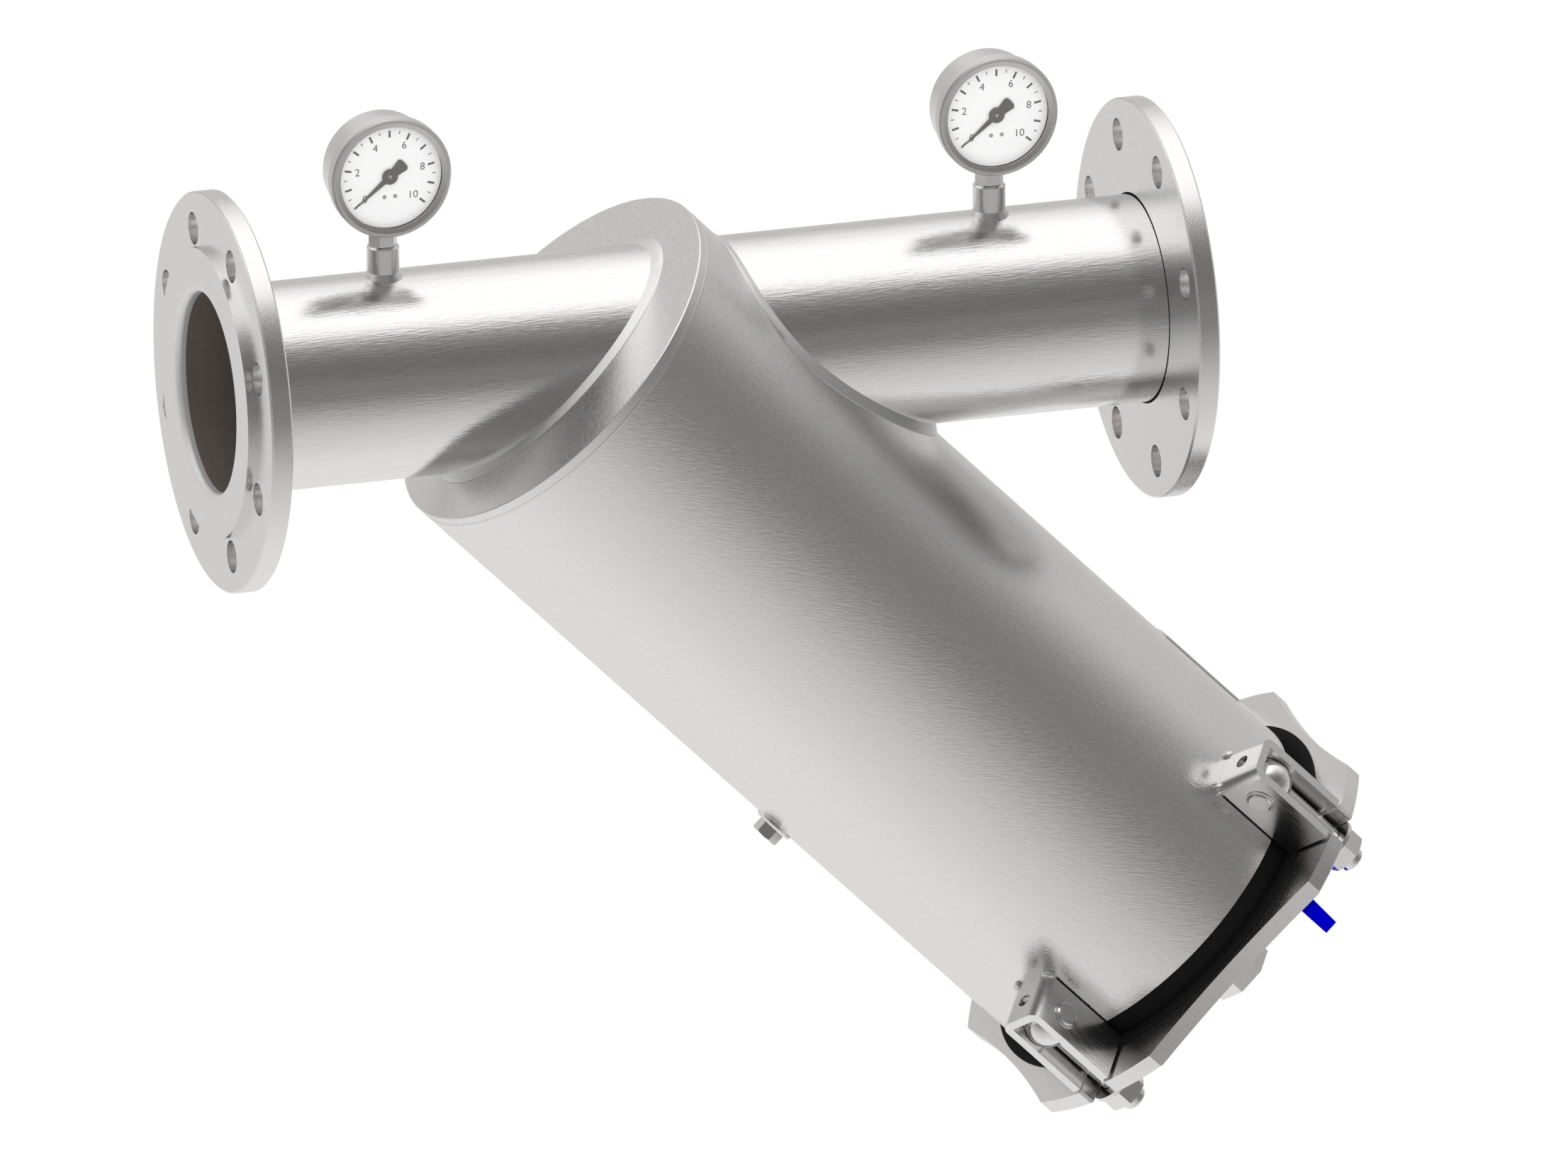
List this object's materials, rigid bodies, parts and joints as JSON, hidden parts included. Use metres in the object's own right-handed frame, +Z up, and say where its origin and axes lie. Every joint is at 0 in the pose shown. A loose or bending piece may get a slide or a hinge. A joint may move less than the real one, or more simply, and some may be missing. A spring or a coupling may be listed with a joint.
{
  "type": "simplex strainer",
  "caption": "Stainless Y-type simplex strainer with loose flanges, a slanted basket housing, a swing-bolt cover, a drain valve and two pressure gauges.",
  "frame": {"origin": "centre of the inlet flange plate's front face, on the pipe axis", "axes": "+X along the pipe from inlet to outlet, +Z up, +Y away from the gauges' dials"},
  "size_m": [0.6415, 0.25, 0.5956],
  "materials": {
    "steel": "brushed",
    "flange_steel": "satin",
    "weld_steel": "satin",
    "socket_steel": "satin",
    "plate_steel": "satin",
    "bracket_steel": "satin",
    "basket_steel": "satin",
    "cover_steel": "brushed",
    "seal_rubber": "matte",
    "bolt_steel": "satin",
    "valve_steel": "satin",
    "seat_plastic": "matte",
    "grip_blue": "matte",
    "gauge_steel": "satin",
    "gauge_brass": "satin",
    "window_glass": "clear",
    "dial_white": "matte",
    "pointer_grey": "matte"
  },
  "bodies": {
    "housing": {"housing_shell": "steel", "top_disc": "steel", "inlet_pipe": "steel", "outlet_pipe": "steel", "inlet_collar": "flange_steel", "outlet_collar": "flange_steel", "inlet_flange": "flange_steel", "outlet_flange": "flange_steel", "pipe_welds": "weld_steel", "inlet_gauge_socket": "socket_steel", "outlet_gauge_socket": "socket_steel", "side_boss": "weld_steel", "side_plug": "socket_steel", "name_plate": "plate_steel", "bolt_brackets": "bracket_steel", "bracket_pins": "bracket_steel", "basket_seat": "basket_steel", "basket_screen": "basket_steel", "basket_top_ring": "basket_steel", "basket_bottom_ring": "basket_steel", "basket_handle": "basket_steel", "cover_plate": "cover_steel", "cover_seal": "seal_rubber", "valve_body": "valve_steel", "valve_end": "valve_steel", "valve_seats": "seat_plastic", "packing_nut": "valve_steel", "inlet_gauge_case": "gauge_steel", "inlet_gauge_bezel": "gauge_steel", "inlet_gauge_window": "window_glass", "inlet_gauge_dial": "dial_white", "inlet_gauge_stem": "gauge_steel", "inlet_gauge_tube": "gauge_brass", "outlet_gauge_case": "gauge_steel", "outlet_gauge_bezel": "gauge_steel", "outlet_gauge_window": "window_glass", "outlet_gauge_dial": "dial_white", "outlet_gauge_stem": "gauge_steel", "outlet_gauge_tube": "gauge_brass"},
    "bolt_1": {"swing_bolt_1": "bolt_steel"},
    "washer_1": {"washer_1": "bolt_steel"},
    "nut_1": {"nut_1": "bolt_steel"},
    "bolt_2": {"swing_bolt_2": "bolt_steel"},
    "washer_2": {"washer_2": "bolt_steel"},
    "nut_2": {"nut_2": "bolt_steel"},
    "bolt_3": {"swing_bolt_3": "bolt_steel"},
    "washer_3": {"washer_3": "bolt_steel"},
    "nut_3": {"nut_3": "bolt_steel"},
    "bolt_4": {"swing_bolt_4": "bolt_steel"},
    "washer_4": {"washer_4": "bolt_steel"},
    "nut_4": {"nut_4": "bolt_steel"},
    "drain_handle": {"valve_ball": "valve_steel", "valve_stem": "valve_steel", "valve_lever": "valve_steel", "lever_grip": "grip_blue", "lever_nut": "valve_steel"},
    "inlet_pointer": {"inlet_gauge_pointer": "pointer_grey"},
    "outlet_pointer": {"outlet_gauge_pointer": "pointer_grey"}
  },
  "joints": [
    {"name": "bolt_1_swing", "type": "hinge", "parent": "housing", "child": "bolt_1", "pos_m": [0.57509, -0.08839, -0.25669], "axis": [-0.5, -0.7071, -0.5], "range_deg": [0, 95]},
    {"name": "washer_1_slide", "type": "slide", "parent": "bolt_1", "child": "washer_1", "axis": [0.7071, 0, -0.7071], "range_m": [0, 0.01254]},
    {"name": "nut_1_turn", "type": "hinge", "parent": "washer_1", "child": "nut_1", "pos_m": [0.57509, -0.08839, -0.25669], "axis": [0.7071, 0, -0.7071], "range_deg": [0, 2243]},
    {"name": "bolt_2_swing", "type": "hinge", "parent": "housing", "child": "bolt_2", "pos_m": [0.45009, -0.08839, -0.38169], "axis": [-0.5, 0.7071, -0.5], "range_deg": [0, 95]},
    {"name": "washer_2_slide", "type": "slide", "parent": "bolt_2", "child": "washer_2", "axis": [0.7071, 0, -0.7071], "range_m": [0, 0.01254]},
    {"name": "nut_2_turn", "type": "hinge", "parent": "washer_2", "child": "nut_2", "pos_m": [0.45009, -0.08839, -0.38169], "axis": [0.7071, 0, -0.7071], "range_deg": [0, 2243]},
    {"name": "bolt_3_swing", "type": "hinge", "parent": "housing", "child": "bolt_3", "pos_m": [0.45009, 0.08839, -0.38169], "axis": [0.5, 0.7071, 0.5], "range_deg": [0, 95]},
    {"name": "washer_3_slide", "type": "slide", "parent": "bolt_3", "child": "washer_3", "axis": [0.7071, 0, -0.7071], "range_m": [0, 0.01254]},
    {"name": "nut_3_turn", "type": "hinge", "parent": "washer_3", "child": "nut_3", "pos_m": [0.45009, 0.08839, -0.38169], "axis": [0.7071, 0, -0.7071], "range_deg": [0, 2243]},
    {"name": "bolt_4_swing", "type": "hinge", "parent": "housing", "child": "bolt_4", "pos_m": [0.57509, 0.08839, -0.25669], "axis": [0.5, -0.7071, 0.5], "range_deg": [0, 95]},
    {"name": "washer_4_slide", "type": "slide", "parent": "bolt_4", "child": "washer_4", "axis": [0.7071, 0, -0.7071], "range_m": [0, 0.01254]},
    {"name": "nut_4_turn", "type": "hinge", "parent": "washer_4", "child": "nut_4", "pos_m": [0.57509, 0.08839, -0.25669], "axis": [0.7071, 0, -0.7071], "range_deg": [0, 2243]},
    {"name": "drain_quarter_turn", "type": "hinge", "parent": "housing", "child": "drain_handle", "pos_m": [0.56958, 0, -0.37618], "axis": [0.7071, 0, 0.7071], "range_deg": [0, 90]},
    {"name": "inlet_pointer_turn", "type": "hinge", "parent": "housing", "child": "inlet_pointer", "pos_m": [0.0973, -0.013, 0.118], "axis": [0, 1, 0], "range_deg": [0, 260], "stiffness_Nm_per_rad": 0.001},
    {"name": "outlet_pointer_turn", "type": "hinge", "parent": "housing", "child": "outlet_pointer", "pos_m": [0.4439, -0.013, 0.118], "axis": [0, 1, 0], "range_deg": [0, 260], "stiffness_Nm_per_rad": 0.001}
  ],
  "couplings": [
    {"joint": "washer_1_slide", "follows": "bolt_1_swing", "m_per_rad": 0.0075},
    {"joint": "nut_1_turn", "follows": "bolt_1_swing", "ratio": 23.562},
    {"joint": "washer_2_slide", "follows": "bolt_2_swing", "m_per_rad": 0.0075},
    {"joint": "nut_2_turn", "follows": "bolt_2_swing", "ratio": 23.562},
    {"joint": "washer_3_slide", "follows": "bolt_3_swing", "m_per_rad": 0.0075},
    {"joint": "nut_3_turn", "follows": "bolt_3_swing", "ratio": 23.562},
    {"joint": "washer_4_slide", "follows": "bolt_4_swing", "m_per_rad": 0.0075},
    {"joint": "nut_4_turn", "follows": "bolt_4_swing", "ratio": 23.562}
  ]
}
